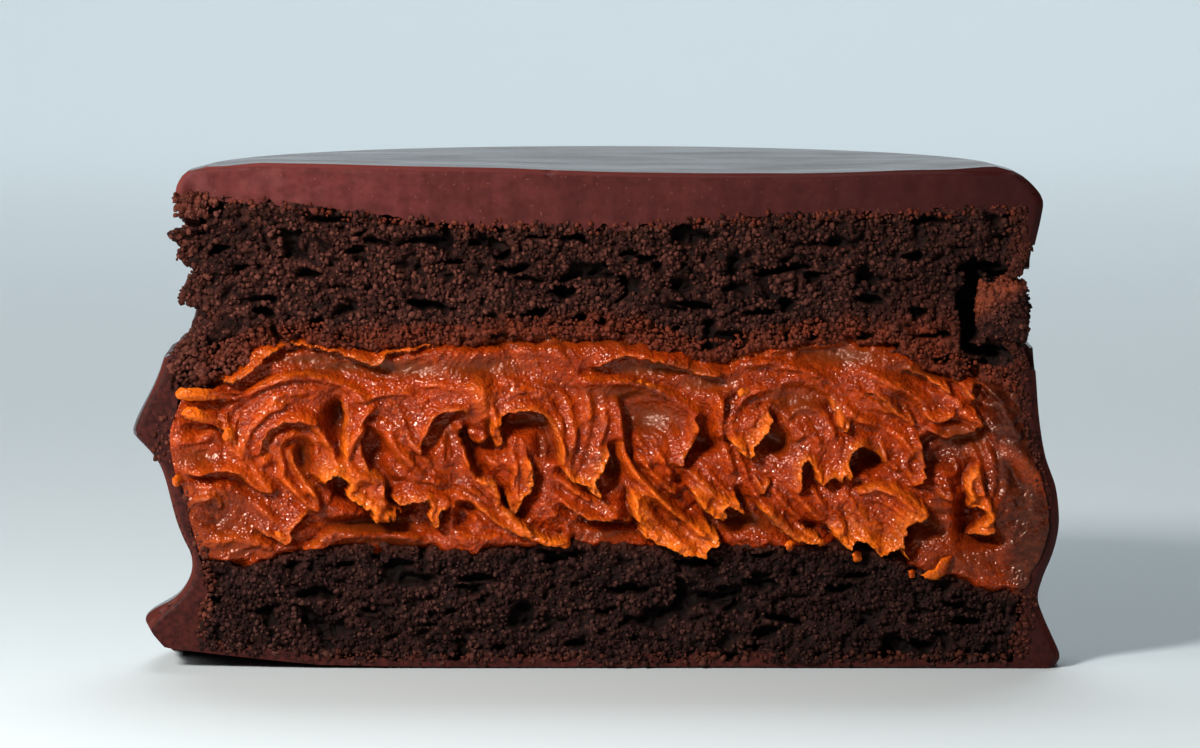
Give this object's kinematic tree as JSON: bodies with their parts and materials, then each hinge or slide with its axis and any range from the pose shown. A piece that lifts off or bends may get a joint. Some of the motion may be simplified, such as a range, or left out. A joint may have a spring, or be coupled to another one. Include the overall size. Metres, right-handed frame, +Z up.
{
  "type": "alfajor cookie",
  "caption": "Cut half of a tall chocolate-coated sandwich cookie, showing the dark crumb, the swirled caramel filling and the thick chocolate top.",
  "frame": {"origin": "middle of the bounding box at its base, on the surface that the half stands on", "axes": "+X to the right along the cut face as it is looked at, +Y away from the cut towards the round back, +Z up"},
  "size_m": [0.064, 0.0352, 0.035],
  "materials": {
    "chocolate": "smooth dark chocolate, satin on the cut and glossy outside",
    "cookie": "open, moist dark cocoa crumb",
    "crumb": "loose block of cocoa crumb",
    "caramel": "thick moist caramel cream, torn into swirls",
    "base_cookie": "fine dark cocoa crumb"
  },
  "bodies": {
    "root": {"chocolate_coating": "chocolate", "top_cookie": "cookie", "crumb_chunk": "crumb", "caramel_filling": "caramel", "bottom_cookie": "base_cookie"}
  },
  "joints": []
}
